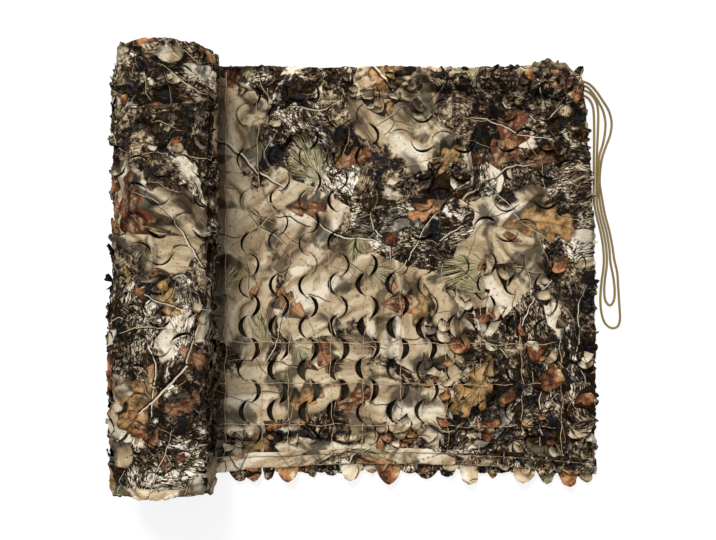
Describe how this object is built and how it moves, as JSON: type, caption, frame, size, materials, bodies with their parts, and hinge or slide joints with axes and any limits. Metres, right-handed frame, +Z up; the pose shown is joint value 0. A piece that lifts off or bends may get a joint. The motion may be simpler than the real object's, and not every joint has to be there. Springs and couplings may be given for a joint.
{
  "type": "camouflage net",
  "caption": "Camouflage net of thin cloth with leaf-shaped cuts on a net of threads, folded in two and rolled up from one end, with two tie cords.",
  "frame": {"origin": "on the ground under the middle of the cloth's bounding box, with the tie cords left out", "axes": "+X from the roll to the free end, +Y from the front hems to the folded back edge, +Z up"},
  "size_m": [0.894, 0.7627, 0.1586],
  "materials": {
    "printed_cloth": "thin matt polyester cloth printed with a woodland pattern of bark, leaves and twigs",
    "tie_cord": "braided tan polyester cord"
  },
  "bodies": {
    "root": {"net_roll": "printed_cloth", "net_loose_end": "printed_cloth", "tie_cord_long": "tie_cord", "tie_cord_short": "tie_cord"}
  },
  "joints": []
}
